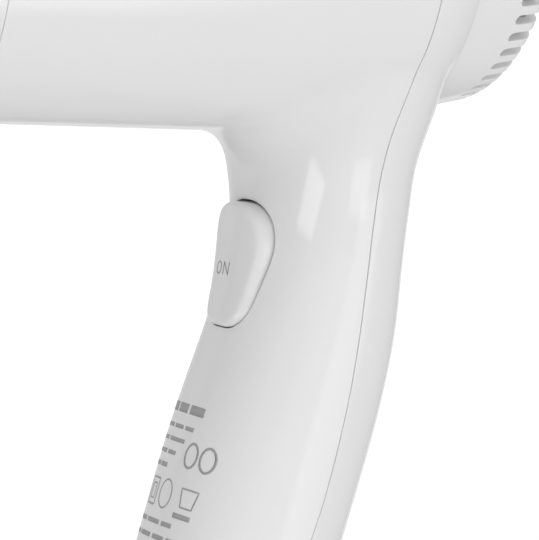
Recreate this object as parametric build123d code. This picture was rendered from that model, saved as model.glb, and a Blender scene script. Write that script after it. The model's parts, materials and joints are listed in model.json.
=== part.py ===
from build123d import *
import os
from math import copysign, cos, pi, radians, sin

# Compact hair dryer handset, in millimetres.
# Origin: centre of the nozzle's front face, on the barrel axis.
# +X runs back along the barrel, +Z up, so the handle hangs down -Z.

os.makedirs("parts", exist_ok=True)

# ---- Outer body ----
WALL = 2.2
SEAM_X, SEAM_R = 52.5, 34.5
TAPER = 0.068
SHOULDER_X = 130.5
RIM_X, RIM_R = 141.0, 37.3
SECTION_POWER = 2.2
# Handle sections: height, front x, back x, half width.
HANDLE = [
    (-166.0, 75.9, 113.4, 17.0),
    (-150.0, 81.4, 118.8, 17.0),
    (-113.3, 93.9, 131.4, 17.1),
    (-88.9, 102.3, 139.55, 17.0),
    (-74.5, 108.3, 142.7, 16.7),
    (-63.3, 112.4, 143.7, 16.9),
    (-52.4, 114.4, 144.5, 18.4),
    (-45.3, 114.3, 145.0, 20.4),
    (-36.0, 113.5, 146.9, 24.8),
    (-20.0, 112.0, 149.0, 32.0),
    (0.0, 110.0, 150.0, 37.0),
]
END_CENTRE = Vector(100.1, 0, -150.0)
TILT = radians(18.6)
END_AXIS = Vector(-sin(TILT), 0, -cos(TILT))
PARTING_TOP_X = 131.8
PARTING = [(131.8, -25), (130.7, -33), (130.1, -44), (129.7, -62.7), (126.9, -81.4),
           (121.9, -100), (104.7, -150), (99.3, -166)]

# ---- Intake drum ----
DRUM_X, DRUM_R, DRUM_TAPER = 141.0, 36.8, 0.137
DRUM_BACK, DRUM_CROWN = 158.1, 160.0
SLOT_COUNT, SLOT_START, SLOT_WIDTH, SLOT_X, SLOT_DEPTH_R = 58, 3.87, 1.9, 152.0, 24.0
INNER_SLOTS, INNER_R0, INNER_R1 = 29, 11.0, 21.5

# ---- Nozzle ----
SPIGOT_R, SPIGOT_LENGTH, SPIGOT_BORE = 26.0, 16.0, 23.6

# ---- Button and switch ----
BUTTON_SIDE = [(3.8, -51.9), (6.4, -53.6), (7.8, -56.2), (8.1, -60.3), (6.9, -67.1), (5.5, -72.0),
               (3.4, -73.4)]
BUTTON_TOP, BUTTON_BOTTOM = -51.4, -73.6
BUTTON_RAKE, BUTTON_STEP = 4.8, 1.05
PIVOT_X, PIVOT_Z, PIVOT_R = 114.0, -77.0, 1.5
PLUNGER_Z, SPRING_Z = -56.0, -63.5
BRACKET_X = 121.0
# Bracket screws: height, and x of the tip.
BRACKET_SCREWS = [(-84.5, 112.5), (-44.5, 117.2)]
SHELL_SCREWS_Z = (-93.0, -131.0)

# ---- Fan, motor and heater ----
SHAFT_R, BUSH_R = 1.0, 1.03
DUCT_R, DUCT_BORE = 33.0, 31.6
MOTOR_R, MOTOR_FRONT, MOTOR_BACK = 13.9, 103.0, 131.0
FAN_R, FAN_HUB_R, FAN_BLADES = 30.8, 14.5, 9
SLEEVE_R = 29.0
COIL_R, WIRE_R = 23.7, 0.45
LEAD_R, LEAD_Y, LEAD_Z = 0.9, 9.5, -33.4
CORD_R = 3.7


def barrel_r(x):
    return SEAM_R + TAPER * (x - SEAM_X)


def drum_r(x):
    return DRUM_R - DRUM_TAPER * (x - DRUM_X)


def turned(*points):
    """Solid of revolution about the barrel axis, from (x, radius) points."""
    return revolve(make_face(Polyline(*points, close=True)), Axis.X)


def tube(x0, x1, outer, inner):
    return turned((x0, inner), (x1, inner), (x1, outer), (x0, outer))


def rod(x0, x1, radius, y=0.0, z=0.0):
    """Round rod along X."""
    return Pos((x0 + x1) / 2, y, z) * Rot(0, 90, 0) * Cylinder(radius, x1 - x0)


def pin(y0, y1, radius, x, z):
    """Round rod along Y."""
    return Pos(x, (y0 + y1) / 2, z) * Rot(90, 0, 0) * Cylinder(radius, y1 - y0)


def block(x0, x1, y0, y1, z0, z1):
    return Pos((x0 + x1) / 2, (y0 + y1) / 2, (z0 + z1) / 2) * Box(x1 - x0, y1 - y0, z1 - z0)


def around(shape, count, start=0.0):
    """Copies of a shape turned about the barrel axis."""
    return [Rot(start + 360 / count * i, 0, 0) * shape for i in range(count)]


def section(z, front, back, half_width, inset):
    """One rounded handle section, as a face at height z."""
    a, b = (back - front) / 2 - inset, half_width - inset
    points = []
    for i in range(24):
        c, s = cos(2 * pi * i / 24), sin(2 * pi * i / 24)
        points.append((copysign(a * abs(c) ** (2 / SECTION_POWER), c),
                       copysign(b * abs(s) ** (2 / SECTION_POWER), s)))
    return Plane.XY.offset(z) * Pos((front + back) / 2, 0) * make_face(Spline(*points, periodic=True))


def handle_body(inset):
    """The handle as a solid, set in from the outer skin by inset."""
    full = loft([section(*row, inset) for row in HANDLE])
    end = Plane(origin=END_CENTRE - END_AXIS * inset, z_dir=END_AXIS)
    solid = split(full, bisect_by=end, keep=Keep.BOTTOM)
    rim = solid.faces().sort_by(Axis.Z)[0].edges()
    return fillet(rim, 5.0 - inset)


def barrel_body(inset):
    """The barrel and its rounded rear shoulder, set in from the outer skin."""
    grow = 3.0 if inset else 0.0
    shoulder = Vector(SHOULDER_X, barrel_r(SHOULDER_X) - inset)
    start = Vector(SEAM_X - grow, barrel_r(SEAM_X - grow) - inset)
    rim = Vector(RIM_X, RIM_R - inset)
    side = Line(start, shoulder)
    curve = TangentArc(shoulder, rim, tangent=(1, TAPER))
    close = Polyline(rim, (RIM_X, 0), (start.X, 0), start)
    return revolve(make_face([side, curve, *close.edges()]), Axis.X)


def swept(points, radius, bend):
    """Round wire along straight runs joined by tangent arcs."""
    path = FilletPolyline(*points, radius=bend)
    return sweep(Plane(origin=path @ 0, z_dir=path % 0) * Circle(radius), path=path)


def coil(x0, x1, pitch, radius, wire):
    path = Helix(pitch, x1 - x0, radius, center=(x0, 0, 0), direction=(1, 0, 0))
    return sweep(Plane(origin=path @ 0, z_dir=path % 0) * Circle(wire), path=path, is_frenet=True)


def button_outline(grow=0.0):
    """The button's egg-shaped outline in (y, z), moved outwards by grow."""
    side = [(0, BUTTON_TOP), *BUTTON_SIDE, (0, BUTTON_BOTTOM)]
    points = [Vector(*p) for p in side + [(-y, z) for y, z in reversed(BUTTON_SIDE)]]
    moved = []
    for i, point in enumerate(points):
        run = (points[(i + 1) % len(points)] - points[i - 1]).normalized()
        moved.append(point + Vector(-run.Y, run.X) * grow)
    return make_face(Spline(*moved, periodic=True))


# ---- Shells ----
handle_outer = handle_body(0.0)
handle_inner = handle_body(WALL)
body_outer = barrel_body(0.0) + handle_outer
cavity = barrel_body(WALL) + handle_inner

front_edge = Polyline((0, 60), (PARTING_TOP_X, 60), PARTING[0])
front_curve = Spline(*PARTING)
front_close = Polyline(PARTING[-1], (0, -166), (0, 60))
front_face = make_face([*front_edge.edges(), front_curve, *front_close.edges()])
front_zone = extrude(Plane.XZ * front_face, amount=60, both=True)

drum_hole = turned((133, 0), (133, 36.95), (DRUM_X, 36.95), (162, drum_r(162) + 0.4), (162, 0))
posts = [rod(80, 142, 4.2, z=z) for z in SHELL_SCREWS_Z]
posts += [rod(100, BRACKET_X - 0.05, 2.8, z=z) for z, _ in BRACKET_SCREWS]
block_ribs = [block(90, 104.4, y - 0.75, y + 0.75, -122, -114) for y in (-5.5, 5.5)]
shell = body_outer - cavity
shell += [post & body_outer for post in posts]
shell += [rib & body_outer for rib in block_ribs]
shell -= drum_hole

gland_axis = Plane(origin=END_CENTRE, z_dir=END_AXIS)
shell -= gland_axis * Cylinder(5.1, 20)
shell -= [rod(112, 160, 1.7, z=z) & body_outer - front_zone for z in SHELL_SCREWS_Z]
shell -= [rod(132.5 - 0.34 * (-93 - z), 160, 3.2, z=z) for z in SHELL_SCREWS_Z]
shell -= [rod(110 - 0.34 * (-93 - z), 127, 1.32, z=z) for z in SHELL_SCREWS_Z]
shell -= [rod(tip - 0.4, 124, 1.32, z=z) for z, tip in BRACKET_SCREWS]

button_hole = extrude(Plane.YZ.offset(95) * button_outline(0.35), 25)
front_shell = (shell & front_zone) - button_hole
rear_shell = shell - front_zone
tongue = tube(128, 134, 37.25, 35.9) + tube(132.8, 134, 38.6, 36.5)
tongue -= block(120, 140, -60, 60, -60, -8)
rear_shell += tongue

# ---- Nozzle and outlet grille ----
nozzle_outline = make_face(Polyline(
    (0, 25.5), (0.5, SPIGOT_R), (SPIGOT_LENGTH, SPIGOT_R), (SPIGOT_LENGTH, 29.2), (19.5, 31.8),
    (28, barrel_r(28)), (SEAM_X, SEAM_R), (SEAM_X, 32.1), (58, 32.1), (58, 30.4), (34, 30.4),
    (19, 27.0), (17, SPIGOT_BORE), (0, SPIGOT_BORE), close=True))
nozzle = revolve(nozzle_outline, Axis.X)

outlet_grille = tube(8, 10.5, 23.5, 21.9) + rod(8, 10.5, 3.0)
outlet_grille += [tube(8.2, 10.2, r + 0.6, r - 0.6) for r in (7.7, 12.4, 17.1)]
outlet_grille += around(block(8.2, 10.2, -0.7, 0.7, 2, 22.5), 6)

# ---- Intake grille with its slots, filter frame and mesh ----
drum_face = make_face(Polyline(
    (DRUM_CROWN, 0), (158, 0), (158, 9), (156.1, 32.7), (DRUM_X, 34.5), (134.5, 34.6),
    (134.5, DRUM_R), (DRUM_X, DRUM_R), (DRUM_BACK, drum_r(DRUM_BACK)), (DRUM_CROWN, 9), close=True))
rim_corner = drum_face.vertices().sort_by_distance((DRUM_BACK, drum_r(DRUM_BACK), 0))[0]
intake_grille = revolve(fillet(rim_corner, 3.0), Axis.X)
slot_plan = Rectangle(20, SLOT_WIDTH, align=(Align.MIN, Align.CENTER))
slot_plan = Pos(SLOT_X + SLOT_WIDTH / 2, 0) * (slot_plan + Circle(SLOT_WIDTH / 2))
rim_slot = Pos(0, 0, SLOT_DEPTH_R) * extrude(slot_plan, 20)
inner_slot = block(150, 165, -0.8, 0.8, INNER_R0, INNER_R1)
intake_grille -= around(rim_slot, SLOT_COUNT, SLOT_START) + around(inner_slot, INNER_SLOTS)
hook = block(126.4, 137, -3, 3, 34.9, 35.7) + block(126.4, 127.6, -3, 3, 34.9, 36.8)
intake_grille += around(hook, 4, 45)

filter_frame = tube(148.6, 155.4, 32.2, 30.7) + tube(148.6, 149.6, 33.3, 30.7)
filter_frame += rod(154, 155.4, 4.0)
filter_frame += around(block(154, 155.4, -0.8, 0.8, 3, 31.5), 4, 45)
mesh_bars = [block(152.6, 153.1, y - 0.4, y + 0.4, -31, 31) for y in range(-28, 29, 4)]
mesh_bars += [Rot(90, 0, 0) * bar for bar in mesh_bars]
mesh_disc = rod(152, 154, 30.0)
filter_mesh = tube(152.5, 153.2, 30.6, 29.0) + [bar & mesh_disc for bar in mesh_bars]

# ---- Heater ----
mica_sleeve = tube(50.5, 100.5, SLEEVE_R, SLEEVE_R - 0.5)
groove = coil(51.8, 80.2, 3.5, COIL_R, 0.7) + coil(84.8, 95.2, 2.6, COIL_R, 0.7)
board_v = block(48, 98.4, -0.4, 0.4, -25.5, 25.5) - block(73, 99, -1, 1, -0.45, 0.45)
board_h = block(48, 98.4, -25.5, 25.5, -0.4, 0.4) - block(47, 73.1, -0.45, 0.45, -1, 1)
board_v -= groove
board_h -= groove
heating_coil = coil(52, 80, 3.5, COIL_R, WIRE_R)
motor_coil = coil(85, 95, 2.6, COIL_R, WIRE_R)
heater_ring = tube(98.6, 99.6, 28.3, 22.5) + tube(98.6, 99.6, 14.5, 12.5)
heater_ring += around(block(98.6, 99.6, -1.5, 1.5, 13, 23), 4, 0)
thermostat = block(62, 72, 0.5, 4.5, 5, 17)
thermal_fuse = rod(58, 74, 1.8, y=-2.3, z=10)

# ---- Fan duct, motor and fan ----
duct = tube(110, 147.5, DUCT_R, DUCT_BORE) + tube(112, 133, 15.4, 14.1)
duct += tube(131.2, 133, 15.0, 3.4)
vane = Rot(0, 0, 12) * block(-7.5, 7.5, -0.7, 0.7, 14.8, 32.2)
duct += around(Pos(121, 0, 0) * vane, 7)
duct -= [rod(130, 134, 1.05, y=y) for y in (-8, 8)]
duct_gasket = tube(113, 117, 36.2, 33.05) - block(112, 118, -40, 40, -40, -26)

motor_can = tube(MOTOR_FRONT + 0.2, MOTOR_BACK, MOTOR_R, 13.0)
motor_can += tube(MOTOR_BACK - 1, MOTOR_BACK, 13.5, 2.6)
motor_can -= [rod(129, 132, 1.0, y=y) for y in (-8, 8)]
magnet = tube(110, 127, 12.9, 11.3) - block(109, 128, -20, 20, -20, 3)
motor_magnets = magnet + Rot(180, 0, 0) * magnet
end_cap = tube(MOTOR_FRONT, 105.4, 12.9, 2.65)
end_cap += [block(105.2, 110.2, s * 8.6 if s > 0 else -10.6, 10.6 if s > 0 else -8.6, -2.5, 2.5)
            for s in (-1, 1)]
carbon_brushes = block(107.6, 110, 3.95, 8.55, -1.5, 1.5)
carbon_brushes += block(107.6, 110, -8.55, -3.95, -1.5, 1.5)
front_bushing = tube(102.3, 105.8, 2.6, BUSH_R)
rear_bushing = tube(128.5, 132.4, 2.55, BUSH_R)
motor_screws = Part() + [rod(133.05, 134.2, 1.9, y=y) + rod(127.5, 133.3, 0.95, y=y)
                         for y in (-8, 8)]
rectifier_board = tube(100.6, 102.0, 12.4, 3.0)
diodes = Part() + [rod(96.5, 100.55, 1.3, y=y, z=z) for y in (-6, 6) for z in (-6, 6)]

motor_shaft = rod(103.4, 145.4, SHAFT_R)
armature = tube(111.5, 125, 10.6, 1.02) - around(block(111, 126, -1.0, 1.0, 6.5, 11), 5, 36)
commutator = tube(107.2, 110.6, 3.6, 1.02)
impeller = tube(134.9, 147, FAN_HUB_R, 13.0) + tube(145.5, 147, 13.5, 1.02)
impeller += tube(136, 146, 3.0, 1.02)
root = Plane(origin=(141, 0, 13.6), x_dir=(cos(radians(38)), sin(radians(38)), 0), z_dir=(0, 0, 1))
tip = Plane(origin=(141, 0, 32), x_dir=(cos(radians(60)), sin(radians(60)), 0), z_dir=(0, 0, 1))
blade = loft([root * Rectangle(13, 1.5), tip * Rectangle(18, 1.2)]) & rod(130, 150, FAN_R)
impeller += around(blade, FAN_BLADES)

# ---- Button, plunger, spring, microswitch and bracket ----
pivot_axis = Axis((PIVOT_X, 0, PIVOT_Z), (0, 1, 0))
raked = handle_outer.rotate(pivot_axis, -BUTTON_RAKE).moved(Location((-BUTTON_STEP, 0, 0)))
prism = extrude(Plane.YZ.offset(95) * button_outline(), 30)
inner_prism = extrude(Plane.YZ.offset(95) * button_outline(-1.7), 30)
button = (prism & raked) - handle_outer.moved(Location((3.2, 0, 0)))
button -= inner_prism & raked.moved(Location((1.9, 0, 0)))
pad = block(108, 117.7, -2.6, 2.6, -67, -53.8) & raked.moved(Location((1.0, 0, 0)))
arm = block(111.4, 116, -3.6, 3.6, -78.6, -70)
button += [pad, arm, pin(-6.6, 6.6, PIVOT_R, PIVOT_X, PIVOT_Z)]
button -= rod(115.7, 119, 2.6, z=SPRING_Z)

button_spring = Pos(0, 0, SPRING_Z) * coil(116.1, 120.6, 1.2, 2.0, 0.25)
switch_plunger = rod(118, 119.2, 2.2, z=PLUNGER_Z) + rod(118, 123.5, 1.5, z=PLUNGER_Z)

cheek_plan = make_face(Polyline((111.6, -80), (133, -80), (133, -48.5), (BRACKET_X, -48.5),
                                (BRACKET_X, -74.2), (111.6, -74.2), close=True))
bracket = Part() + [Pos(0, y, 0) * extrude(Plane.XZ * cheek_plan, 1.0, both=True) for y in (-5.2, 5.2)]
bracket += block(BRACKET_X, 122.3, -6, 6, -87.6, -48.5)
bracket += block(BRACKET_X, 122.3, -4, 4, -49, -41.5)
bracket -= pin(-8, 8, PIVOT_R + 0.08, PIVOT_X, PIVOT_Z)
bracket -= rod(120, 123, 1.56, z=PLUNGER_Z)
bracket -= [rod(120, 123, 1.5, z=z) for z, _ in BRACKET_SCREWS]
bracket_screws = Part() + [rod(122.35, 124, 2.4, z=z) + rod(tip, 122.5, 1.3, z=z)
                           for z, tip in BRACKET_SCREWS]
microswitch = block(122.6, 132.8, -3.2, 3.2, -72, -52)
microswitch -= rod(122, 126, 1.9, z=PLUNGER_Z)
microswitch += [block(132.5, 137, -0.3, 0.3, z - 1.5, z + 1.5) for z in (-57, -67)]
SWITCH_PINS = [(129.5, -58.5), (129.5, -66.5)]
microswitch -= [pin(-4, 4, 1.15, x, z) for x, z in SWITCH_PINS]
bracket -= [pin(-8, 8, 1.13, x, z) for x, z in SWITCH_PINS]
switch_pins = Part() + [pin(-6.2, 6.2, 1.1, x, z) for x, z in SWITCH_PINS]

# ---- Cord entry, terminal block, leads and screws ----
cord_gland = revolve(make_face(Polyline(
    (CORD_R, -1.6), (7.0, -1.6), (7.0, 0), (5.0, 0), (5.0, 2.3), (6.4, 2.3),
    (6.4, 4.3), (5.2, 4.3), (5.0, 12.4), (CORD_R, 12.4), close=True)), Axis.Y)
cord_gland = Plane(origin=END_CENTRE, x_dir=(0, 1, 0), z_dir=-END_AXIS) * Rot(90, 0, 0) * cord_gland
terminal_block = block(104.5, 116.5, -8, 8, -124.5, -111.5)
terminal_block -= [rod(111, 117, 1.25, y=y, z=-118) for y in (-4, 4)]
terminal_screws = Part() + [rod(116.55, 117.8, 2.2, y=y, z=-118) + rod(112, 117, 1.2, y=y, z=-118)
                            for y in (-4, 4)]
capacitor = block(106, 118, -2.6, 2.6, -107.5, -98.5)

to_heater = [(126, LEAD_Z), (105, LEAD_Z), (105, -16), (99.7, -16)]
lead_neutral = swept([(111, 4, -111.1), (112.5, 4, -106), (117, LEAD_Y, -97), (125, LEAD_Y, -76)]
                     + [(x, LEAD_Y, z) for x, z in to_heater], LEAD_R, 2.5)
lead_live = swept([(111, -4, -111.1), (112.5, -4, -106), (118, -LEAD_Y, -98),
                   (133, -LEAD_Y, -83), (135.5, 0, -76), (135.5, 0, -68.6)], LEAD_R, 2.5)
lead_switched = swept([(135.5, 0, -55.4), (135.5, 0, -50), (130, -LEAD_Y, -42)]
                      + [(x, -LEAD_Y, z) for x, z in to_heater], LEAD_R, 2.5)

shell_screws = Part()
for z in SHELL_SCREWS_Z:
    head = 132.5 - 0.34 * (-93 - z)
    shell_screws += rod(head + 0.02, head + 2.0, 2.8, z=z) + rod(head - 17.5, head + 0.5, 1.3, z=z)

NODES = {
    "front_shell": front_shell, "rear_shell": rear_shell, "nozzle": nozzle,
    "outlet_grille": outlet_grille, "intake_grille": intake_grille,
    "filter_frame": filter_frame, "filter_mesh": filter_mesh, "mica_sleeve": mica_sleeve,
    "heater_board_vertical": board_v, "heater_board_horizontal": board_h,
    "heating_coil": heating_coil, "motor_supply_coil": motor_coil, "heater_ring": heater_ring,
    "thermostat": thermostat, "thermal_fuse": thermal_fuse, "fan_duct": duct,
    "duct_gasket": duct_gasket, "motor_can": motor_can, "motor_magnets": motor_magnets,
    "motor_end_cap": end_cap, "carbon_brushes": carbon_brushes, "front_bushing": front_bushing,
    "rear_bushing": rear_bushing, "motor_screws": motor_screws,
    "rectifier_board": rectifier_board, "rectifier_diodes": diodes, "motor_shaft": motor_shaft,
    "armature": armature, "commutator": commutator, "impeller": impeller,
    "switch_button": button, "button_spring": button_spring, "switch_plunger": switch_plunger,
    "switch_bracket": bracket, "bracket_screws": bracket_screws, "microswitch": microswitch,
    "switch_pins": switch_pins, "cord_gland": cord_gland, "terminal_block": terminal_block,
    "terminal_screws": terminal_screws, "suppression_capacitor": capacitor,
    "lead_live": lead_live, "lead_neutral": lead_neutral, "lead_switched": lead_switched,
    "shell_screws": shell_screws,
}

for name, shape in NODES.items():
    export_step(shape, f"parts/{name}.step")
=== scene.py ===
import json
import math

import bpy
import numpy as np
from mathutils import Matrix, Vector


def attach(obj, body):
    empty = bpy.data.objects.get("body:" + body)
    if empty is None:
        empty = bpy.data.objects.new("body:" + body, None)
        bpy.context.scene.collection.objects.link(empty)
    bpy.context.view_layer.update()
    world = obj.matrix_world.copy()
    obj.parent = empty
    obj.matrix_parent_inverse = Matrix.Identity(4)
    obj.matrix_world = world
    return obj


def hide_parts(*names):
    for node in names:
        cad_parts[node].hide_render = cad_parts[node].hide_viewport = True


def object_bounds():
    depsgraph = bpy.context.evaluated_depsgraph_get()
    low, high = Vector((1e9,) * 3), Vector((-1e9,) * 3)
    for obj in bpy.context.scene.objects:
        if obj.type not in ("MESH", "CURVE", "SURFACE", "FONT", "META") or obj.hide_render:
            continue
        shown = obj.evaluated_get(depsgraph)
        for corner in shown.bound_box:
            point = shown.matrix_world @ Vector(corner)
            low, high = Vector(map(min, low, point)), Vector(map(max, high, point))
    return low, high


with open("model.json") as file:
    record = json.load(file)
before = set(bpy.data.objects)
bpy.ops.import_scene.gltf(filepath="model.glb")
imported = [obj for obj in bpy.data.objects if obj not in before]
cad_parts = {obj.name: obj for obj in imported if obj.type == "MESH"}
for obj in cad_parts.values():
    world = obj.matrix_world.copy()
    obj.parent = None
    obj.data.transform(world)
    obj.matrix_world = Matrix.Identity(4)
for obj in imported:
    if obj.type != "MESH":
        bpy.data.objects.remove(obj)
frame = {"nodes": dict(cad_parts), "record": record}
size_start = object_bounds()

# Everything below is worked out in millimetres, in the frame of the CAD model.

# ---- Shape of the outer body ----
WALL = 2.2
SEAM_X, SEAM_R, TAPER = 52.5, 34.5, 0.068
SHOULDER_X, RIM_X, RIM_R = 130.5, 141.0, 37.3
# Exponent of the handle's section: 2 is an ellipse, and more is squarer.
POWER = 2.2
# Rows up the handle: height, front edge, back edge and half width.
HANDLE_ROWS = np.array([
    (-166.0, 75.9, 113.4, 17.0), (-150.0, 81.4, 118.8, 17.0), (-113.3, 93.9, 131.4, 17.1),
    (-88.9, 102.3, 139.55, 17.0), (-74.5, 108.3, 142.7, 16.7), (-63.3, 112.4, 143.7, 16.9),
    (-52.4, 114.4, 144.5, 18.4), (-45.3, 114.3, 145.0, 20.4), (-36.0, 113.5, 146.9, 24.8),
    (-20.0, 112.0, 149.0, 32.0), (0.0, 110.0, 150.0, 37.0)])
HANDLE_TOP, END_FILLET = -5.0, 5.0
TILT = math.radians(18.6)
END_CENTRE = np.array([100.1, 0.0, -150.0])
END_AXIS = np.array([-math.sin(TILT), 0.0, -math.cos(TILT)])
# Parting line between the two shells, as (height, x).
PARTING = np.array([
    (-166, 99.3), (-150, 104.7), (-110.9, 118.0), (-105.2, 120.3), (-93.6, 123.9),
    (-81.4, 126.9), (-69.1, 129.0), (-60, 129.9), (-50, 130.2), (-41, 130.2), (-37.5, 130.35),
    (-34.2, 130.7), (-31.3, 131.1), (-28.5, 131.5), (-25, 131.6), (60, 131.6)])
DRUM_X, DRUM_R, DRUM_TAPER, DRUM_HOLE_R = 141.0, 36.8, 0.137, 36.95
SLOTS, SLOT_START, SLOT_HALF, SLOT_X, SLOT_R = 58, 3.87, 0.95, 152.0, 24.0
INNER_SLOTS, INNER_HALF, INNER_R0, INNER_R1 = 29, 0.8, 11.0, 21.5
# One side of the button's outline, as (half width, height) from the top down.
BUTTON_SIDE = [(3.8, -51.9), (6.4, -53.6), (7.8, -56.2), (8.1, -60.3), (6.9, -67.1), (5.5, -72.0),
               (3.4, -73.4)]
BUTTON_TOP, BUTTON_BOTTOM = -51.4, -73.6
PIVOT = np.array([114.0, 0.0, -77.0])
RAKE, STEP = math.radians(4.8), 1.05
SCREWS_Z, SCREW_HOLE_R, GLAND_HOLE_R = (-93.0, -131.0), 3.2, 5.2
# Given as the distance from the button's outline wherever it isn't worked out.
FAR = 50.0


def natural_spline(xs, ys):
    """Cubic spline through the points, as a function that runs on straight at both ends."""
    xs, ys = np.asarray(xs, float), np.asarray(ys, float)
    n, h = len(xs), np.diff(xs)
    system, rhs = np.eye(n), np.zeros(n)
    for i in range(1, n - 1):
        system[i, i - 1:i + 2] = h[i - 1], 2 * (h[i - 1] + h[i]), h[i]
        rhs[i] = 6 * ((ys[i + 1] - ys[i]) / h[i] - (ys[i] - ys[i - 1]) / h[i - 1])
    m = np.linalg.solve(system, rhs)

    def value(x):
        x = np.clip(x, xs[0], xs[-1])
        i = np.clip(np.searchsorted(xs, x) - 1, 0, n - 2)
        a, b = (xs[i + 1] - x) / h[i], (x - xs[i]) / h[i]
        bend = ((a ** 3 - a) * m[i] + (b ** 3 - b) * m[i + 1]) * h[i] ** 2 / 6
        return a * ys[i] + b * ys[i + 1] + bend
    return value


def eased_curve(xs, ys):
    """Curve through the points that never swings past them."""
    xs, ys = np.asarray(xs, float), np.asarray(ys, float)
    h, d = np.diff(xs), np.diff(ys) / np.diff(xs)
    m = np.zeros(len(xs))
    same = d[:-1] * d[1:] > 0
    w1, w2 = 2 * h[1:] + h[:-1], h[1:] + 2 * h[:-1]
    with np.errstate(divide="ignore", invalid="ignore"):
        m[1:-1] = np.where(same, (w1 + w2) / (w1 / d[:-1] + w2 / d[1:]), 0)
    m[0], m[-1] = d[0], d[-1]

    def value(x):
        x = np.clip(x, xs[0], xs[-1])
        i = np.clip(np.searchsorted(xs, x) - 1, 0, len(h) - 1)
        t = (x - xs[i]) / h[i]
        return ((1 + 2 * t) * (1 - t) ** 2 * ys[i] + t * (1 - t) ** 2 * h[i] * m[i]
                + t * t * (3 - 2 * t) * ys[i + 1] + t * t * (t - 1) * h[i] * m[i + 1])
    return value


front_edge = natural_spline(HANDLE_ROWS[:, 0], HANDLE_ROWS[:, 1])
back_edge = natural_spline(HANDLE_ROWS[:, 0], HANDLE_ROWS[:, 2])
half_width = natural_spline(HANDLE_ROWS[:, 0], HANDLE_ROWS[:, 3])
parting_x = eased_curve(PARTING[:, 0], PARTING[:, 1])

# The shoulder is an arc that leaves the barrel's side smoothly and ends at the rim.
_lean = math.atan(TAPER)
_start = np.array([SHOULDER_X, SEAM_R + TAPER * (SHOULDER_X - SEAM_X)])
_chord = np.array([RIM_X, RIM_R]) - _start
SHOULDER_RADIUS = np.hypot(*_chord) / (2 * math.sin(_lean - math.atan2(_chord[1], _chord[0])))
SHOULDER_CENTRE = _start + SHOULDER_RADIUS * np.array([math.sin(_lean), -math.cos(_lean)])


def barrel(p):
    """Distance to the barrel's skin, and the skin's normal."""
    x, y, z = p.T
    rho = np.maximum(np.hypot(y, z), 1e-6)
    cone = (rho - SEAM_R - TAPER * (x - SEAM_X)) * math.cos(_lean)
    dx, dr = x - SHOULDER_CENTRE[0], np.maximum(rho - SHOULDER_CENTRE[1], 0)
    length = np.maximum(np.hypot(dx, dr), 1e-6)
    past = (dx * math.cos(_lean) + dr * math.sin(_lean) > 0)
    d = np.where(past, length - SHOULDER_RADIUS, cone)
    nx = np.where(past, dx / length, -math.sin(_lean))
    nr = np.where(past, dr / length, math.cos(_lean))
    return d, np.stack([nx, nr * y / rho, nr * z / rho], 1)


def handle_radial(x, y, z):
    """Distance to the handle's section at each point's height, with its shape there."""
    front, back, half = front_edge(z), back_edge(z), half_width(z)
    a, c = (back - front) / 2, (back + front) / 2
    u, v = (x - c) / a, y / half
    g = np.maximum((np.abs(u) ** POWER + np.abs(v) ** POWER) ** (1 / POWER), 0.05)
    return (1 - 1 / g) * np.maximum(np.hypot(x - c, y), 0.3), u, v, a, half


def handle(p):
    """Distance to the handle's skin, and the skin's normal."""
    x, y, z = p.T
    d, u, v, a, half = handle_radial(x, y, z)
    dz = 0.4
    slope = (handle_radial(x, y, z + dz)[0] - handle_radial(x, y, z - dz)[0]) / (2 * dz)
    nx = np.sign(u) * np.abs(u) ** (POWER - 1) / a
    ny = np.sign(v) * np.abs(v) ** (POWER - 1) / half
    flat = np.maximum(np.hypot(nx, ny), 1e-9)
    scale = 1 / np.sqrt(1 + slope ** 2)
    normal = np.stack([nx / flat * scale, ny / flat * scale, slope * scale], 1)
    d = np.maximum(d * scale, z - HANDLE_TOP)
    end = (p - END_CENTRE) @ END_AXIS
    u, v = d + END_FILLET, end + END_FILLET
    corner = np.hypot(np.maximum(u, 0), np.maximum(v, 0))
    return np.minimum(np.maximum(u, v), 0) + corner - END_FILLET, normal


# Reach of the soft fillet where the barrel and the handle meet square to each other.
BLEND = 12.5


def body(p):
    """Distance to the whole outer skin: barrel and handle run into each other softly."""
    a, na = barrel(p)
    b, nb = handle(p)
    open_angle = 1 - np.clip((na * nb).sum(1), 0, 1)
    k = BLEND * open_angle + 1e-3
    h = np.maximum(k - np.abs(a - b), 0) / k
    return np.minimum(a, b) - h * h * k / 4


def gradient(f, p, h=0.02):
    """Slope of f at the points, by central differences."""
    g = np.empty_like(p)
    for i in range(3):
        step = np.zeros(3)
        step[i] = h
        g[:, i] = (f(p + step) - f(p - step)) / (2 * h)
    return g


def unit(v):
    return v / np.maximum(np.linalg.norm(v, axis=1, keepdims=True), 1e-12)


def onto(f, p, rounds=4, also=None):
    """Moves points onto the surface f = 0, and onto also = 0 as well if it is given."""
    for _ in range(rounds):
        v, g = f(p), gradient(f, p)
        if also is None:
            p = p - g * (v / np.maximum((g * g).sum(1), 1e-9))[:, None]
            continue
        w, e = also(p), gradient(also, p)
        gg, ge, ee = (g * g).sum(1), (g * e).sum(1), (e * e).sum(1)
        det = np.maximum(gg * ee - ge * ge, 1e-6)
        p = p - g * ((v * ee - w * ge) / det)[:, None] - e * ((w * gg - v * ge) / det)[:, None]
    return p


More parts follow.
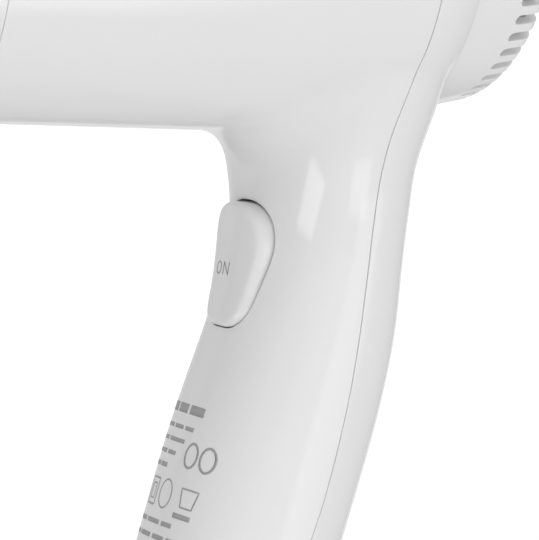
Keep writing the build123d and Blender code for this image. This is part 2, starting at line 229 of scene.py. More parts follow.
def skin_of(f, low, high, step):
    """Triangles of the surface f = 0 inside a box, with points lying on the surface."""
    axes = [np.arange(a, b + step, step) for a, b in zip(low, high)]
    shape = [len(a) for a in axes]
    grid = np.stack(np.meshgrid(*axes, indexing="ij"), -1).reshape(-1, 3)
    values = np.concatenate([f(part) for part in np.array_split(grid, 24)]).reshape(shape)
    inside = values < 0
    count = sum(inside[i:shape[0] - 1 + i, j:shape[1] - 1 + j, k:shape[2] - 1 + k].astype(int)
                for i in (0, 1) for j in (0, 1) for k in (0, 1))
    mixed = (count > 0) & (count < 8)
    index = np.full(mixed.shape, -1)
    cells = np.argwhere(mixed)
    index[mixed] = np.arange(len(cells))
    points = onto(f, np.array(low) + (cells + 0.5) * step, 6)
    quads = []
    for axis in range(3):
        u, v = (axis + 1) % 3, (axis + 2) % 3
        ahead = [slice(None)] * 3
        here = [slice(None)] * 3
        ahead[axis], here[axis] = slice(1, None), slice(0, -1)
        a, b = inside[tuple(here)], inside[tuple(ahead)]
        for flag, flip in ((a & ~b, False), (b & ~a, True)):
            at = np.argwhere(flag)
            ok = (at[:, u] > 0) & (at[:, v] > 0)
            ok &= (at[:, u] < shape[u] - 1) & (at[:, v] < shape[v] - 1)
            at = at[ok]
            ring = []
            for du, dv in ((-1, -1), (0, -1), (0, 0), (-1, 0)):
                cell = at.copy()
                cell[:, u] += du
                cell[:, v] += dv
                ring.append(index[cell[:, 0], cell[:, 1], cell[:, 2]])
            quad = np.stack(ring[::-1] if flip else ring, 1)
            quads.append(quad)
    quads = np.concatenate(quads)
    return points, np.concatenate([quads[:, [0, 1, 2]], quads[:, [0, 2, 3]]])


class Skin:
    """An open surface that can be cut along any level and then given a thickness.

    snap is how near an edge a point is moved onto it, rather than its triangle split.
    """

    SHORT_MOVE, LONG_MOVE = 0.6, 0.8

    def __init__(self, points, tris, surface, snap=0.22):
        self.p, self.t, self.f, self.snap = points, tris, surface, snap
        self.cuts = [set() for _ in range(len(points))]
        self.levels = []

    def cut(self, level, ease):
        """Keeps the part where level < -ease; level is 0 at the finished edge."""
        tag = len(self.levels)
        self.levels.append(level)
        f = lambda q: level(q) + ease
        s = f(self.p)
        close = np.flatnonzero((np.abs(s) < self.snap) & np.array([not c for c in self.cuts]))
        if len(close):
            moved = onto(self.f, self.p[close], 4, f)
            fine = np.linalg.norm(moved - self.p[close], axis=1) < self.SHORT_MOVE
            self.p[close[fine]] = moved[fine]
            s[close[fine]] = 0.0
            for i in close[fine]:
                self.cuts[i].add(tag)
        st = s[self.t]
        keep = (st <= 0).all(1) & (st < 0).any(1)
        split = (st < 0).any(1) & (st > 0).any(1)
        points, made, extra = [], {}, []
        base = len(self.p)
        for tri in self.t[split]:
            poly = []
            for k in range(3):
                i, j = int(tri[k]), int(tri[(k + 1) % 3])
                if s[i] <= 0:
                    poly.append(i)
                if (s[i] < 0 < s[j]) or (s[j] < 0 < s[i]):
                    key = (min(i, j), max(i, j))
                    if key not in made:
                        made[key] = base + len(points)
                        w = s[i] / (s[i] - s[j])
                        points.append(self.p[i] * (1 - w) + self.p[j] * w)
                        self.cuts.append((self.cuts[i] & self.cuts[j]) | {tag})
                    poly.append(made[key])
            extra += [(poly[0], poly[k], poly[k + 1]) for k in range(1, len(poly) - 1)]
        if points:
            new = np.array(points)
            old_edge = np.array([len(c) > 1 for c in self.cuts[base:]])
            moved = onto(self.f, new, 4, f)
            fine = (np.linalg.norm(moved - new, axis=1) < self.LONG_MOVE) & ~old_edge
            new[fine] = moved[fine]
            self.p = np.concatenate([self.p, new])
        parts = [self.t[keep]] + ([np.array(extra)] if extra else [])
        self.t = np.concatenate(parts)
        self.tidy()

    def tidy(self):
        """Drops the points that no triangle uses."""
        used = np.unique(self.t)
        place = np.full(len(self.p), -1)
        place[used] = np.arange(len(used))
        self.p, self.t = self.p[used], place[self.t]
        self.cuts = [self.cuts[i] for i in used]

    def solid(self, wall, ease, arc=4):
        """Points, faces and loop normals of the skin with rounded edges and a thickness."""
        n = unit(gradient(self.f, self.p))
        edges = np.concatenate([self.t[:, [0, 1]], self.t[:, [1, 2]], self.t[:, [2, 0]]])
        keys = np.sort(edges, 1)
        _, inverse, number = np.unique(keys, axis=0, return_inverse=True, return_counts=True)
        rim = edges[number[inverse.ravel()] == 1]
        on_rim = np.unique(rim)
        away = np.zeros_like(self.p)
        for tag, level in enumerate(self.levels):
            mine = np.array([i for i in on_rim if tag in self.cuts[i]], int)
            if len(mine):
                g = gradient(level, self.p[mine])
                g -= n[mine] * (g * n[mine]).sum(1)[:, None]
                away[mine] += unit(g)
        away = unit(away)
        place = np.full(len(self.p), -1)
        place[on_rim] = np.arange(len(on_rim))
        t, m, start = away[on_rim], n[on_rim], self.p[on_rim]
        points, normals = [self.p], [n]
        rings = [on_rim]
        total = len(self.p)
        for k in range(1, arc + 1):
            q = math.pi / 2 * k / arc
            points.append(start + ease * (math.sin(q) * t - (1 - math.cos(q)) * m))
            normals.append(math.sin(q) * t + math.cos(q) * m)
            rings.append(total + np.arange(len(on_rim)))
            total += len(on_rim)
        points.append(start + ease * t - wall * m)
        normals.append(t)
        rings.append(total + np.arange(len(on_rim)))
        total += len(on_rim)
        inner = total + np.arange(len(self.p))
        points.append(self.p - wall * n)
        normals.append(-n)
        points, normals = np.concatenate(points), np.concatenate(normals)
        faces, loops = [self.t], [n[self.t]]
        a, b = place[rim[:, 0]], place[rim[:, 1]]
        for k in range(len(rings) - 1):
            r0, r1 = rings[k], rings[k + 1]
            quad = np.stack([r0[b], r0[a], r1[a], r1[b]], 1)
            for pick in ([0, 1, 2], [0, 2, 3]):
                faces.append(quad[:, pick])
                loops.append(normals[quad[:, pick]])
        r0, inside = rings[-1], inner[on_rim]
        quad = np.stack([r0[b], r0[a], inside[a], inside[b]], 1)
        for pick in ([0, 1, 2], [0, 2, 3]):
            faces.append(quad[:, pick])
            loops.append(np.repeat(-n[rim[:, 0]][:, None], 3, 1))
        faces.append(inner[self.t[:, ::-1]])
        loops.append(-n[self.t[:, ::-1]])
        return points, np.concatenate(faces), np.concatenate(loops).reshape(-1, 3)


def mesh_object(name, points, faces, loop_normals=None):
    """A mesh object from points in millimetres."""
    mesh = bpy.data.meshes.new(name)
    mesh.from_pydata((np.asarray(points) / 1000).tolist(), [], [list(map(int, f)) for f in faces])
    mesh.shade_smooth()
    if loop_normals is not None:
        mesh.normals_split_custom_set(loop_normals.tolist())
    ob = bpy.data.objects.new(name, mesh)
    bpy.context.scene.collection.objects.link(ob)
    return ob


def closed_curve(points, per_span=16):
    """Smooth closed curve through the points, as many short runs."""
    p = np.asarray(points, float)
    n = len(p)
    h = np.linalg.norm(np.roll(p, -1, 0) - p, axis=1)
    system, rhs = np.zeros((n, n)), np.zeros((n, 2))
    for i in range(n):
        b, f = (i - 1) % n, (i + 1) % n
        system[i, b] += h[b]
        system[i, i] += 2 * (h[b] + h[i])
        system[i, f] += h[i]
        rhs[i] = 6 * ((p[f] - p[i]) / h[i] - (p[i] - p[b]) / h[b])
    m = np.linalg.solve(system, rhs)
    out = []
    for i in range(n):
        f = (i + 1) % n
        for q in np.arange(per_span) / per_span:
            a = 1 - q
            bend = ((a ** 3 - a) * m[i] + (q ** 3 - q) * m[f]) * h[i] ** 2 / 6
            out.append(a * p[i] + q * p[f] + bend)
    return np.array(out)


OUTLINE = closed_curve([(0, BUTTON_TOP), *BUTTON_SIDE, (0, BUTTON_BOTTOM)]
                       + [(-y, z) for y, z in reversed(BUTTON_SIDE)])
_ahead, _behind = np.roll(OUTLINE, -1, 0), np.roll(OUTLINE, 1, 0)
OUTLINE_NORMAL = unit(np.stack([-(_ahead - _behind)[:, 1], (_ahead - _behind)[:, 0]], 1))


def outline_distance(yz):
    """Distance from the button's outline, negative inside it, worked out only near it."""
    result = np.full(len(yz), FAR)
    reach_y, low, high, batch = 14, -82, -44, 2000
    near = np.flatnonzero((np.abs(yz[:, 0]) < reach_y) & (yz[:, 1] > low) & (yz[:, 1] < high))
    a, b = OUTLINE, _ahead
    run = b - a
    for part in np.array_split(near, max(1, len(near) // batch)):
        if not len(part):
            continue
        q = yz[part][:, None] - a[None]
        t = np.clip((q * run).sum(2) / (run * run).sum(1), 0, 1)
        gap = np.linalg.norm(q - t[..., None] * run, axis=2)
        k = gap.argmin(1)
        off = yz[part] - (a[k] + run[k] * t[np.arange(len(part)), k][:, None])
        outward = np.stack([-run[k][:, 1], run[k][:, 0]], 1)
        result[part] = np.where((off * outward).sum(1) > 0, 1, -1) * gap.min(1)
    return result


# ---- Shells: one skin, cut along the joints between the pieces ----
# Radius of the eased edges, half the width of the parting gap, and the gap round the button,
# which narrows to NARROWEST of that over the lowest NARROWING millimetres.
EASE, HALF_GAP, BUTTON_GAP = 0.16, 0.07, 0.35
NARROWEST, NARROWING = 0.4, 6
# The gap at the nozzle's seam, and how far the button's, screws' and gland's holes reach.
SEAM_GAP, BUTTON_BACK_X, SCREW_BEHIND, GLAND_REACH = 0.1, 122, 3, -3
# Skin grid: its step, and the box that holds the two shells.
GRID = 1.3
SHELLS_LOW, SHELLS_HIGH = (50.3, -42.5, -157.5), (152.0, 42.5, 43.0)
# A level's value where its cut doesn't reach.
CLEAR = -10


def seam_level(p):
    return SEAM_X + SEAM_GAP - p[:, 0]


def front_level(p):
    return p[:, 0] - parting_x(p[:, 2]) + HALF_GAP


def rear_level(p):
    return parting_x(p[:, 2]) + HALF_GAP - p[:, 0]


def button_level(p):
    share = np.clip((p[:, 2] - BUTTON_BOTTOM) / NARROWING, 0, 1)
    gap = BUTTON_GAP * (NARROWEST + (1 - NARROWEST) * share)
    return np.where(p[:, 0] < BUTTON_BACK_X, gap - outline_distance(p[:, 1:]), CLEAR)


def drum_level(p):
    hole = DRUM_HOLE_R - np.maximum(p[:, 0] - DRUM_X, 0) * DRUM_TAPER
    return hole - np.hypot(p[:, 1], p[:, 2])


def screw_level(p):
    s = np.max([SCREW_HOLE_R - np.hypot(p[:, 1], p[:, 2] - z) for z in SCREWS_Z], 0)
    return np.where(p[:, 0] > parting_x(p[:, 2]) + SCREW_BEHIND, s, CLEAR)


def gland_level(p):
    q = p - END_CENTRE
    along = q @ END_AXIS
    off = np.linalg.norm(q - along[:, None] * END_AXIS, axis=1)
    return np.where(along > GLAND_REACH, GLAND_HOLE_R - off, CLEAR)


points, tris = skin_of(body, SHELLS_LOW, SHELLS_HIGH, GRID)
pieces = {}
for name, levels in {
    "front_shell": (seam_level, front_level, button_level, gland_level),
    "rear_shell": (rear_level, drum_level, screw_level, gland_level),
}.items():
    skin = Skin(points.copy(), tris.copy(), body)
    for level in levels:
        skin.cut(level, EASE)
    ob = mesh_object(name + "_skin", *skin.solid(WALL, EASE))
    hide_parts(name)
    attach(ob, "handset")
    pieces[name] = ob

# ---- Screw wells in the back of the handle ----
# Where a search along X starts: in front of the handle, or behind it.
FRONT_START, BACK_START = 108, 140


def along_x(f, yz, start):
    """x of the surface f = 0 on lines along X through the (y, z) points."""
    p = np.column_stack([np.full(len(yz), float(start)), yz])
    nudge, flattest, stride = 0.02, 0.05, 3
    for _ in range(16):
        v = f(p)
        q = p + (nudge, 0, 0)
        g = (f(q) - v) / nudge
        p[:, 0] -= np.clip(v / np.where(np.abs(g) < flattest, flattest, g), -stride, stride)
    return p[:, 0]


def joined(meshes):
    """One list of points and one of faces out of several."""
    points, faces, base = [], [], 0
    for p, f in meshes:
        points.append(np.asarray(p, float))
        faces += [tuple(i + base for i in face) for face in f]
        base += len(p)
    return np.concatenate(points), faces


def ring_solid(rings, start, end):
    """Closed mesh from rings of equal count, with a point before the first and after the last."""
    n, points = len(rings[0]), np.concatenate([*rings, [start], [end]])
    faces = []
    for i in range(len(rings) - 1):
        for k in range(n):
            l = (k + 1) % n
            faces.append((i * n + k, i * n + l, (i + 1) * n + l, (i + 1) * n + k))
    last = (len(rings) - 1) * n
    for k in range(n):
        l = (k + 1) % n
        faces.append((len(points) - 2, l, k))
        faces.append((len(points) - 1, last + k, last + l))
    return points, faces


SEAT_X, SEAT_LEAN, SEAT_WALL = 132.5, 0.34, 1.2
SHANK_R, WELL_R, WELL_SINK, WELL_TURNS = 1.75, 3.7, 0.35, 48


def well_circle(z, r, x=None):
    """Ring of a screw well at height z, on the plane x, or just under the shell's face."""
    turn = np.arange(WELL_TURNS) * 2 * math.pi / WELL_TURNS
    yz = np.column_stack([r * np.sin(turn), z + r * np.cos(turn)])
    edge = along_x(body, yz, BACK_START) - WELL_SINK if x is None else np.full(WELL_TURNS, x)
    return np.column_stack([edge, yz])


def screw_well(z):
    """Closed ring of a wall and a seat with the screw's hole in it."""
    seat = SEAT_X - SEAT_LEAN * (SCREWS_Z[0] - z)
    rings = [well_circle(z, SHANK_R, seat), well_circle(z, SCREW_HOLE_R, seat),
             well_circle(z, SCREW_HOLE_R), well_circle(z, WELL_R),
             well_circle(z, WELL_R, seat - SEAT_WALL), well_circle(z, SHANK_R, seat - SEAT_WALL)]
    n, rows = WELL_TURNS, len(rings)
    faces = []
    for i in range(rows):
        j = (i + 1) % rows
        for k in range(n):
            l = (k + 1) % n
            faces.append((i * n + k, i * n + l, j * n + l, j * n + k))
    return np.concatenate(rings), faces


wells = mesh_object("rear_shell_screw_wells", *joined([screw_well(z) for z in SCREWS_Z]))
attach(wells, "handset")
pieces["wells"] = wells

# ---- Press button ----
# The cap's edge fillet and walls, and how far its skirt reaches behind the handle's front.
FILLET, CAP_WALL, CAP_FACE_WALL, SKIRT = 1.3, 1.7, 1.9, 3.2
PIN_R, PIN_END, PIN_TURNS = 1.5, 6.6, 32


def button_face(p):
    """Distance to the button's face, which is the handle's front leaned out about the pivot."""
    q = p + (STEP, 0, 0) - PIVOT
    c, s = math.cos(RAKE), math.sin(RAKE)
    turned = np.stack([q[:, 0] * c + q[:, 2] * s, q[:, 1], q[:, 2] * c - q[:, 0] * s], 1)
    return handle(turned + PIVOT)[0]


def handle_front(p):
    return handle(p)[0]


outline, outward = OUTLINE[::2], OUTLINE_NORMAL[::2]
middle = outline.mean(0)


def face_ring(yz, back=0.0, surface=button_face):
    """Ring over the (y, z) points, a distance back from a surface."""
    return np.column_stack([along_x(surface, yz, FRONT_START) + back, yz])


def shrunk(yz, share):
    return middle + (yz - middle) * share


def button_cap():
    """The cap as one shell: face, fillet, skirt, and the inside of its wall and face."""
    bevel = 0.2
    face_edge, inner_edge = outline - outward * FILLET, outline - outward * CAP_WALL
    rings = [face_ring(shrunk(face_edge, q)) for q in (0.15, 0.35, 0.55, 0.75, 0.9, 0.97)]
    for q in np.radians([90, 75, 60, 45, 30, 15, 0]):
        rings.append(face_ring(outline - outward * FILLET * (1 - math.cos(q)),
                               FILLET * (1 - math.sin(q))))
    rings.append(face_ring(outline, SKIRT - bevel, handle_front))
    rings.append(face_ring(outline - outward * bevel, SKIRT, handle_front))
    rings.append(face_ring(inner_edge, SKIRT, handle_front))
    rings.append(face_ring(inner_edge, CAP_FACE_WALL + bevel))
    rings += [face_ring(shrunk(outline - outward * (CAP_WALL + bevel), q), CAP_FACE_WALL)
              for q in (1.0, 0.6, 0.2)]
    return ring_solid(rings, face_ring(middle[None])[0], face_ring(middle[None], CAP_FACE_WALL)[0])


def box_mesh(x, y, z):
    points = [(a, b, c) for a in x for b in y for c in z]
    return points, [(0, 1, 3, 2), (4, 6, 7, 5), (0, 4, 5, 1), (2, 3, 7, 6), (0, 2, 6, 4),
                    (1, 5, 7, 3)]


def pillar(y, z, back):
    """Block from just inside the cap's face to the plane x = back."""
    points, faces = box_mesh((0, back), y, z)
    points = np.array(points, float)
    face_side, into_face = slice(0, 4), 1.5
    points[face_side, 0] = along_x(button_face, points[face_side, 1:], FRONT_START) + into_face
    return points, faces


def hinge_pin():
    turn = np.arange(PIN_TURNS) * 2 * math.pi / PIN_TURNS
    x, z = PIVOT[0] + PIN_R * np.cos(turn), PIVOT[2] + PIN_R * np.sin(turn)
    ends = (-PIN_END, PIN_END)
    return ring_solid([np.column_stack([x, np.full(PIN_TURNS, y), z]) for y in ends],
                      *(PIVOT + (0, y, 0) for y in ends))


# The cap, the pillar that pushes the switch plunger, the pillar that the spring bears on, the
# arm down to the hinge, and the hinge pin.
button = mesh_object("switch_button_cap", *joined([
    button_cap(), pillar((-2.6, 2.6), (-60.6, -53.8), 117.7),
    pillar((-2.6, 2.6), (-67.0, -60.7), 115.7),
    box_mesh((111.4, 116.0), (-3.6, 3.6), (-78.6, -70.0)), hinge_pin()]))
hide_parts("switch_button")
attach(button, "button")
pieces["button"] = button

# ---- Intake drum: one turned skin, cut by its slots ----
DRUM_WALL, RIM_FILLET = 2.0, 3.0
# The drum starts inside the rear shell, turns its rim corner, and rises to a flat crown. The
# inner slots are only behind INNER_SLOT_X.
DRUM_START_X, DRUM_SIDE_X, CORNER_X, CROWN_X, CROWN_R = 134.5, 138.0, 158.1, 160.0, 9.0
INNER_SLOT_X = 156


def drum_profile():
    """Outer outline of the drum as (x, radius) points with even steps, round the rim corner."""
    corner = np.array([CORNER_X, DRUM_R - DRUM_TAPER * (CORNER_X - DRUM_X)])
    front, crown = np.array([DRUM_X, DRUM_R]), np.array([CROWN_X, CROWN_R])
    a = (corner - front) / np.linalg.norm(corner - front)
    b = (crown - corner) / np.linalg.norm(crown - corner)
    turned = math.acos(a @ b)
    reach = RIM_FILLET * math.tan(turned / 2)
    centre = corner - a * reach + RIM_FILLET * np.array([a[1], -a[0]])
    first = math.atan2(-a[1], a[0])
    arc = [centre + RIM_FILLET * np.array([math.sin(q), math.cos(q)])
           for q in np.linspace(first, first + turned, 9)]
    side = [front + (arc[0] - front) * q for q in np.linspace(0, 1, 20)[:-1]]
    back = [arc[-1] + (crown - arc[-1]) * q for q in np.linspace(0, 1, 40)[1:]]
    return np.array([(DRUM_START_X, DRUM_R), (DRUM_SIDE_X, DRUM_R), *side, *arc, *back,
                     (CROWN_X, CROWN_R * 2 / 3), (CROWN_X, CROWN_R / 3)])


PROFILE = drum_profile()


def drum_skin(p):
    """Distance to the drum's turned outline."""
    q = np.column_stack([p[:, 0], np.hypot(p[:, 1], p[:, 2])])
    line = np.vstack([PROFILE, (CROWN_X, 0.0)])
    best, result = np.full(len(q), 1e9), np.zeros(len(q))
    for a, b in zip(line[:-1], line[1:]):
        run = b - a
        t = np.clip(((q - a) @ run) / (run @ run), 0, 1)
        off = q - a - t[:, None] * run
        gap = np.linalg.norm(off, axis=1)
        side = np.sign(off[:, 1] * run[0] - off[:, 0] * run[1])
        closer = gap < best - 1e-9
        best = np.where(closer, gap, best)
        result = np.where(closer, gap * np.where(side == 0, 1, side), result)
    return result


def around_axis(p, count, start):
    """Offset across, and distance along, the nearest of evenly spaced radial lines."""
    step = 2 * math.pi / count
    angle = np.arctan2(-p[:, 1], p[:, 2]) - math.radians(start)
    angle -= np.round(angle / step) * step
    rho = np.hypot(p[:, 1], p[:, 2])
    return rho * np.sin(angle), rho * np.cos(angle)


def both(a, b, r=0.5):
    """Level of the overlap of two regions, with the corners rounded."""
    u, v = r - a, r - b
    return r - np.hypot(np.maximum(u, 0), np.maximum(v, 0)) - np.minimum(np.maximum(u, v), 0)


def slot_level(p):
    across, along = around_axis(p, SLOTS, SLOT_START)
    end = SLOT_X + SLOT_HALF
    inside = SLOT_HALF - np.hypot(np.minimum(p[:, 0] - end, 0), across)
    return both(inside, along - SLOT_R)


def inner_slot_level(p):
    across, along = around_axis(p, INNER_SLOTS, 0.0)
    inside = both(INNER_HALF - np.abs(across), np.minimum(along - INNER_R0, INNER_R1 - along))
    return np.where(p[:, 0] > INNER_SLOT_X, inside, CLEAR)


def turned_skin(columns):
    """Points and triangles of the drum's outline turned about the barrel's axis."""
    angles = math.radians(SLOT_START) + np.arange(columns) * 2 * math.pi / columns
    points = np.array([(x, -r * math.sin(q), r * math.cos(q)) for x, r in PROFILE for q in angles]
                      + [(CROWN_X, 0.0, 0.0)])
    tris = []
    for i in range(len(PROFILE) - 1):
        near, far = i * columns, (i + 1) * columns
        for k in range(columns):
            l = (k + 1) % columns
            tris += [(near + k, near + l, far + l), (near + k, far + l, far + k)]
    last = (len(PROFILE) - 1) * columns
    tris += [(last + k, last + (k + 1) % columns, len(points) - 1) for k in range(columns)]
    return points, np.array(tris)


skin = Skin(*turned_skin(SLOTS * 8), drum_skin, snap=0.06)
skin.cut(slot_level, EASE)
skin.cut(inner_slot_level, EASE)
drum = mesh_object("intake_grille_drum", *skin.solid(DRUM_WALL, EASE, 3))
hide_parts("intake_grille")
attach(drum, "handset")
pieces["drum"] = drum

# ---- Printed marks: plain strokes that lie on the surface ----


def on_face(surface, y, height):
    """Points on the handle's front, at a height measured square to the handle."""
    yz = np.column_stack([y, height])
    spine = along_x(surface, np.column_stack([0 * yz[:, 0], height]), FRONT_START)
    for _ in range(3):
        x = along_x(surface, yz, FRONT_START)
        yz[:, 1] = height - math.tan(TILT) * (x - spine)
    return np.column_stack([along_x(surface, yz, FRONT_START), yz])


def stroke(surface, path, width, closed=False):
    """Thin flat ribbon along a path of (y, height) points, from just above the face to just
    under it."""
    longest, above, under = 0.5, -0.03, 0.1
    path = np.array(path + path[:1] if closed else path, float)
    fine = [path[0]]
    for a, b in zip(path[:-1], path[1:]):
        parts = max(1, int(np.linalg.norm(b - a) / longest))
        fine += [a + (b - a) * k / parts for k in range(1, parts + 1)]
    fine = np.array(fine)
    if closed:
        fine = fine[:-1]
        run = np.roll(fine, -1, 0) - np.roll(fine, 1, 0)
    else:
        run = np.gradient(fine, axis=0)
    across = unit(np.column_stack([-run[:, 1], run[:, 0]])) * width / 2
    edges = []
    for lift, side in ((above, 1), (above, -1), (under, -1), (under, 1)):
        at = fine + side * across
        edges.append(on_face(surface, at[:, 0], at[:, 1]) + (lift, 0, 0))
    n = len(fine)
    faces = []
    for k in range(n if closed else n - 1):
        l = (k + 1) % n
        for i, j in ((0, 1), (1, 2), (2, 3), (3, 0)):
            faces.append((i * n + k, i * n + l, j * n + l, j * n + k))
    if not closed:
        faces += [(0, n, 2 * n, 3 * n), (n - 1, 4 * n - 1, 3 * n - 1, 2 * n - 1)]
    return np.concatenate(edges), faces


def loop(y, height, half_y, half_z, count=28):
    """Path of an ellipse."""
    return [(y + half_y * math.cos(q), height + half_z * math.sin(q))
            for q in np.arange(count) * 2 * math.pi / count]


PEN = 0.26
button_mark = mesh_object("button_mark", *joined([
    stroke(button_face, loop(3.3, -63.4, 0.95, 1.05), PEN, True),
    stroke(button_face, [(1.4, -64.5), (1.4, -62.2)], PEN),
    stroke(button_face, [(1.4, -62.3), (-0.4, -64.4)], PEN),
    stroke(button_face, [(-0.4, -64.5), (-0.4, -62.2)], PEN)]))
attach(button_mark, "button")

# Rating label: rows of bars stand for the small print, with a few plain outlines beside them.
# Each row has its height, its bars' thickness, and the ends of each bar.
ROWS = [(-88.4, 1.6, [(8.5, 5.2), (4.4, 0.6), (-0.2, -4.6)]),
        (-91.6, 0.7, [(8.5, 4.4), (3.6, 0.2), (-0.6, -3.2)]),
        (-93.9, 0.7, [(9.0, 5.0), (4.2, -1.6)]),
        (-96.2, 0.7, [(9.3, 4.0), (3.2, 0.2)]),
        (-98.5, 0.8, [(9.6, 5.6), (4.9, 2.0)]),
        (-108.2, 0.8, [(8.6, 4.6), (3.8, -0.8), (-1.6, -4.6)]),
        (-110.7, 0.8, [(9.0, 6.2), (5.4, 1.0), (0.2, -3.4), (-4.2, -6.8)]),
        (-113.2, 0.8, [(9.2, 3.2), (2.4, -2.0), (-2.8, -6.6)])]
marks = [stroke(handle_front, [(a, height), (b, height)], width)
         for height, width, runs in ROWS for a, b in runs]
# Each outline is its path and its line's thickness.
OUTLINES = [(loop(-4.6, -95.8, 1.5, 2.1), 0.45), (loop(-8.4, -95.8, 1.5, 2.1), 0.45),
            (loop(-0.3, -103.2, 2.0, 2.5), 0.3),
            ([(6.6, -101.0), (3.0, -101.0), (3.0, -105.6), (6.6, -105.6)], 0.3),
            ([(5.7, -102.0), (3.9, -102.0), (3.9, -104.6), (5.7, -104.6)], 0.25),
            ([(-4.8, -101.4), (-8.6, -101.4), (-8.0, -104.6), (-5.4, -104.6)], 0.3)]
marks += [stroke(handle_front, path, width, True) for path, width in OUTLINES]
marks.append(stroke(handle_front, [(-4.2, -106.2), (-8.2, -106.2)], 0.9))
label = mesh_object("handle_label_marks", *joined(marks))
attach(label, "handset")

# ---- Materials: one finish for each material slot of the CAD model ----


def material(name, colour, rough, spread=0.03, tone_scale=60.0, bump=0.05, depth=0.0001,
             metallic=0.0):
    """Procedural finish: faint drift of tone and gloss, with a fine surface texture.

    spread is how far the tone drifts, as a share; depth is the texture's, in metres.
    """
    gloss_scale, bump_scale, low_gloss, high_gloss = 90.0, 900.0, 0.85, 1.2
    mat = bpy.data.materials.new(name)
    mat.use_nodes = True
    nodes, links = mat.node_tree.nodes, mat.node_tree.links
    shader = nodes["Principled BSDF"]
    coords = nodes.new("ShaderNodeTexCoord")

    def noise(scale, detail=3.0):
        n = nodes.new("ShaderNodeTexNoise")
        n.inputs["Scale"].default_value = scale
        n.inputs["Detail"].default_value = detail
        links.new(coords.outputs["Object"], n.inputs["Vector"])
        return n.outputs["Fac"]

    ramp = nodes.new("ShaderNodeValToRGB")
    dark, pale = ramp.color_ramp.elements
    dark.position, pale.position = 0.3, 0.7
    dark.color = [c * (1 - spread) for c in colour] + [1]
    pale.color = [min(1, c * (1 + spread)) for c in colour] + [1]
    links.new(noise(tone_scale), ramp.inputs["Fac"])
    links.new(ramp.outputs["Color"], shader.inputs["Base Color"])
    gloss = nodes.new("ShaderNodeMapRange")
    gloss.inputs["To Min"].default_value = rough * low_gloss
    gloss.inputs["To Max"].default_value = rough * high_gloss
    links.new(noise(gloss_scale), gloss.inputs["Value"])
    links.new(gloss.outputs["Result"], shader.inputs["Roughness"])
    texture = nodes.new("ShaderNodeBump")
    texture.inputs["Strength"].default_value = bump
    texture.inputs["Distance"].default_value = depth
    links.new(noise(bump_scale, 2.0), texture.inputs["Height"])
    links.new(texture.outputs["Normal"], shader.inputs["Normal"])
    shader.inputs["Metallic"].default_value = metallic
    return mat


FINISHES = {
    "white_plastic": material("gloss_white", (0.80, 0.80, 0.80), 0.07, spread=0.006, bump=0.02),
    "grey_plastic": material("satin_grey", (0.42, 0.42, 0.43), 0.35),
    "light_plastic": material("satin_white", (0.74, 0.74, 0.74), 0.4),
    "mica": material("mica_sheet", (0.42, 0.36, 0.25), 0.45, spread=0.2, tone_scale=220.0),
    "resistance_wire": material("resistance_alloy", (0.30, 0.28, 0.27), 0.4, metallic=1.0),
    "dark_plastic": material("black_plastic", (0.03, 0.03, 0.03), 0.4),
    "steel": material("steel", (0.55, 0.55, 0.56), 0.28, metallic=1.0, spread=0.06),
    "duct_plastic": material("dark_duct", (0.07, 0.07, 0.075), 0.4),
    "foam_rubber": material("foam", (0.04, 0.04, 0.04), 0.9, bump=0.6, depth=0.0004),
    "ferrite": material("ferrite", (0.05, 0.05, 0.055), 0.6, bump=0.2),
    "brass": material("brass", (0.62, 0.43, 0.18), 0.3, metallic=1.0),
    "board_green": material("board", (0.03, 0.14, 0.06), 0.35, spread=0.12),
    "copper_winding": material("copper", (0.55, 0.2, 0.09), 0.35, metallic=1.0),
    "soft_grey": material("soft_grey", (0.40, 0.40, 0.40), 0.6),
    "yellow_film": material("yellow_case", (0.70, 0.42, 0.03), 0.35),
    "lead_brown": material("brown_insulation", (0.10, 0.04, 0.02), 0.45),
    "lead_blue": material("blue_insulation", (0.02, 0.06, 0.30), 0.45),
    "lead_black": material("black_insulation", (0.02, 0.02, 0.02), 0.45),
}
slot_of = {s["node"]: s["material_slot"] for s in frame["record"]["subparts"]}
for name, ob in frame["nodes"].items():
    ob.data.materials.clear()
    ob.data.materials.append(FINISHES[slot_of[name]])
for ob in pieces.values():
    ob.data.materials.append(FINISHES["white_plastic"])
button_mark.data.materials.append(material("grey_ink", (0.30, 0.30, 0.31), 0.5))
label.data.materials.append(material("pale_ink", (0.37, 0.37, 0.38), 0.5))

# ---- Camera ----
TARGET, DISTANCE = Vector((0.119, 0.0, -0.0642)), 0.545
AZ, EL = math.radians(-30.0), math.radians(7.5)
back = Vector((math.sin(AZ) * math.cos(EL), -math.cos(AZ) * math.cos(EL), math.sin(EL)))
camera_data = bpy.data.cameras.new("camera")
camera_data.lens = 200.0
camera_data.sensor_width = 36.0
camera_data.clip_start = 0.01
camera = bpy.data.objects.new("camera", camera_data)
camera.location = TARGET + back * DISTANCE
camera.rotation_euler = (-back).to_track_quat("-Z", "Y").to_euler()
bpy.context.scene.collection.objects.link(camera)
bpy.context.scene.camera = camera

# ---- Floor and surround: plain white, in metres, seen by the camera but lighting nothing ----
FLOOR_HALF, FLOOR_DROP, FLOOR_GLOW = 4, 0.0003, 0.35
SURROUND_R, SURROUND_TURNS, SURROUND_HEIGHTS, SURROUND_TOP, SURROUND_GLOW = 6, 32, (-1, 5), 6, 1.05


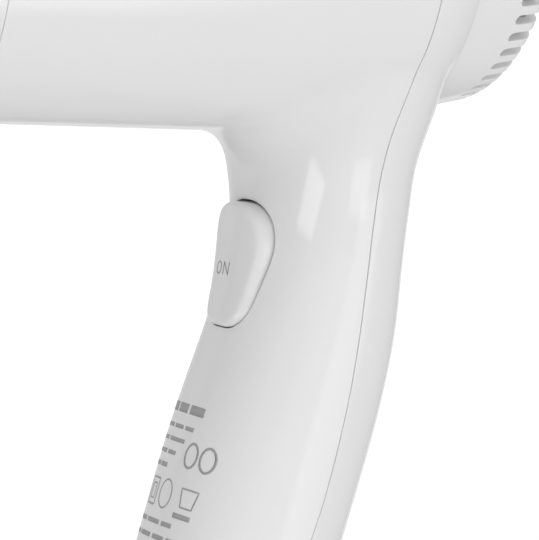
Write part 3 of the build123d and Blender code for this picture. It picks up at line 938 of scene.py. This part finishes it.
def backdrop_material(name, glow):
    """Matt white with a faint grain, and a glow of its own."""
    tone, grain_size = (0.84, 0.86), 40.0
    mat = bpy.data.materials.new(name)
    mat.use_nodes = True
    nodes, links = mat.node_tree.nodes, mat.node_tree.links
    shader = nodes["Principled BSDF"]
    grain = nodes.new("ShaderNodeTexNoise")
    grain.inputs["Scale"].default_value = grain_size
    level = nodes.new("ShaderNodeMapRange")
    level.inputs["To Min"].default_value, level.inputs["To Max"].default_value = tone
    links.new(grain.outputs["Fac"], level.inputs["Value"])
    links.new(level.outputs["Result"], shader.inputs["Base Color"])
    shader.inputs["Roughness"].default_value = 0.9
    shader.inputs["Specular IOR Level"].default_value = 0.0
    shader.inputs["Emission Color"].default_value = (1, 1, 1, 1)
    shader.inputs["Emission Strength"].default_value = glow
    return mat


def backdrop(name, points, faces, glow):
    mesh = bpy.data.meshes.new(name)
    mesh.from_pydata(points, [], faces)
    mesh.materials.append(backdrop_material(name, glow))
    ob = bpy.data.objects.new(name, mesh)
    bpy.context.scene.collection.objects.link(ob)
    ob.visible_diffuse = ob.visible_glossy = ob.visible_transmission = ob.visible_shadow = False


h, floor_z = FLOOR_HALF, size_start[0][2] - FLOOR_DROP
backdrop("floor", [(-h, -h, floor_z), (h, -h, floor_z), (h, h, floor_z), (-h, h, floor_z)],
         [(0, 1, 2, 3)], FLOOR_GLOW)
n = SURROUND_TURNS
ring = [(SURROUND_R * math.cos(q), SURROUND_R * math.sin(q))
        for q in np.arange(n) * 2 * math.pi / n]
backdrop("surround",
         [(x, y, z) for z in SURROUND_HEIGHTS for x, y in ring] + [(0, 0, SURROUND_TOP)],
         [(i, (i + 1) % n, n + (i + 1) % n, n + i) for i in range(n)]
         + [(n + i, n + (i + 1) % n, 2 * n) for i in range(n)], SURROUND_GLOW)

# ---- Light ----
# A level all round, LEAST at its darkest, that leans towards a direction.
ROOM_LEVEL, ROOM_LEAN, LEAST = 0.514, (0.03, -0.175, -0.13), 0.1
# Azimuth, elevation, width, height and power of each soft box. BOX_EDGE is the width of a box's
# soft edge, as a sine.
BOX_EDGE = 0.06
SOFTBOXES = [(-65, -18, 30, 30, 2.6), (13, -37, 29, 25, 1.6), (15, -3, 44, 26, 0.4),
             (35, -16, 32, 32, 1.1), (-20, 3, 34, 9, 0.35),
             (0, 82, 90, 90, 0.6), (170, 10, 90, 70, 0.4)]

# The level leans down and towards the viewer's side. Soft boxes with fairly sharp edges are the
# bright windows that the glossy skin mirrors.
world = bpy.data.worlds.new("room")
bpy.context.scene.world = world
world.use_nodes = True
wn, wl = world.node_tree.nodes, world.node_tree.links
direction = wn.new("ShaderNodeTexCoord").outputs["Generated"]


def room_dot(vector):
    """Direction of view dotted with a vector."""
    node = wn.new("ShaderNodeVectorMath")
    node.operation = "DOT_PRODUCT"
    node.inputs[1].default_value = vector
    wl.new(direction, node.inputs[0])
    return node.outputs["Value"]


def room_math(kind, a, b):
    """Sum, product or the like of two values, each a number or a socket."""
    node = wn.new("ShaderNodeMath")
    node.operation = kind
    for socket, value in zip(node.inputs, (a, b)):
        if isinstance(value, (int, float)):
            socket.default_value = value
        else:
            wl.new(value, socket)
    return node.outputs[0]


def room_ramp(value, low, high):
    """0 below low, 1 above high."""
    node = wn.new("ShaderNodeMapRange")
    node.inputs["From Min"].default_value = low
    node.inputs["From Max"].default_value = high
    wl.new(value, node.inputs["Value"])
    return node.outputs["Result"]


def softbox(azimuth, elevation, wide, tall, power):
    """Rectangle of light seen in a direction; azimuth 0 is -Y and 90 is +X, sizes in degrees."""
    q, e = math.radians(azimuth), math.radians(elevation)
    ahead = Vector((math.sin(q) * math.cos(e), -math.cos(q) * math.cos(e), math.sin(e)))
    side = Vector((math.cos(q), math.sin(q), 0.0))
    up = side.cross(ahead)
    only_ahead = 0.05
    result = room_ramp(room_dot(ahead), 0.0, only_ahead)
    for axis, size in ((side, wide), (up, tall)):
        reach = math.sin(math.radians(size / 2))
        off_centre = room_math("ABSOLUTE", room_dot(axis), 0.0)
        edge = room_ramp(off_centre, reach, max(reach - BOX_EDGE, 0.0))
        result = room_math("MULTIPLY", result, edge)
    return room_math("MULTIPLY", result, power)


light = room_math("ADD", room_dot(ROOM_LEAN), ROOM_LEVEL)
light = room_math("MAXIMUM", light, LEAST)
for box in SOFTBOXES:
    light = room_math("ADD", light, softbox(*box))
wn["Background"].inputs["Color"].default_value = (1, 1, 1, 1)
wl.new(light, wn["Background"].inputs["Strength"])

bpy.context.scene.view_settings.view_transform = "Standard"
